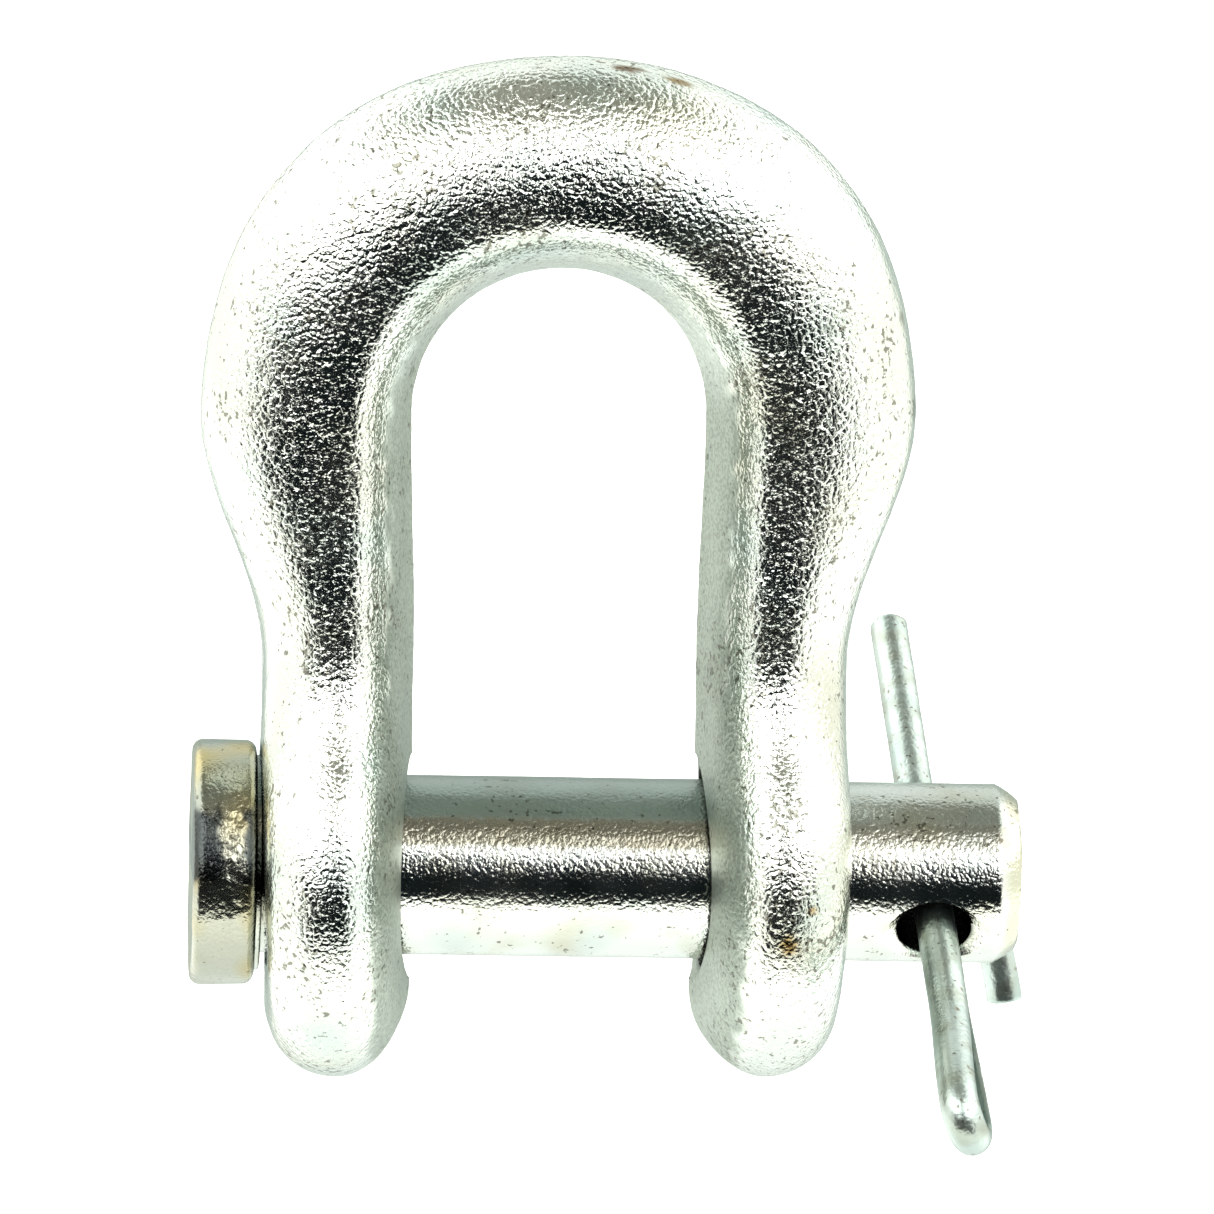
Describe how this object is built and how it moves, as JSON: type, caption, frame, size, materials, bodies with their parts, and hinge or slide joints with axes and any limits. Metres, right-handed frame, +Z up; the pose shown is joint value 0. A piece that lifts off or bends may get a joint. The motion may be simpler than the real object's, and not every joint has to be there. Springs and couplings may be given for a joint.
{
  "type": "round pin bow shackle",
  "caption": "Forged bow shackle: a zinc plated bow with two bored ears, closed by a flat-headed round pin that a bent split pin keeps in place.",
  "frame": {"origin": "the middle of the base of the whole part's box, level with the rims of the two ears it stands on", "axes": "+Z up towards the crown of the bow, +X along the pin from its head to its split pin, -Y the front, where the split pin's eye hangs"},
  "size_m": [0.0602, 0.0462, 0.073],
  "materials": {
    "forged_zinc": "bright zinc plate over a fine orange-peel forged skin",
    "turned_zinc": "bright zinc plate over turned and cropped bar, with faint yellow stains",
    "wire_zinc": "zinc plated half-round wire, slightly green grey"
  },
  "bodies": {
    "bow": {"shackle_bow": "forged_zinc"},
    "pin": {"round_pin": "turned_zinc"},
    "split_pin": {"split_pin": "wire_zinc"}
  },
  "joints": [
    {"name": "pin_spin", "type": "hinge", "parent": "bow", "child": "pin", "pos_m": [-0.0045, 0.00077, 0.01482], "axis": [0.9999, 0, -0.0131], "continuous": true},
    {"name": "split_pin_slide", "type": "slide", "parent": "pin", "child": "split_pin", "axis": [-0.0472, 0.8747, 0.4824], "range_m": [0, 0.0055]}
  ]
}
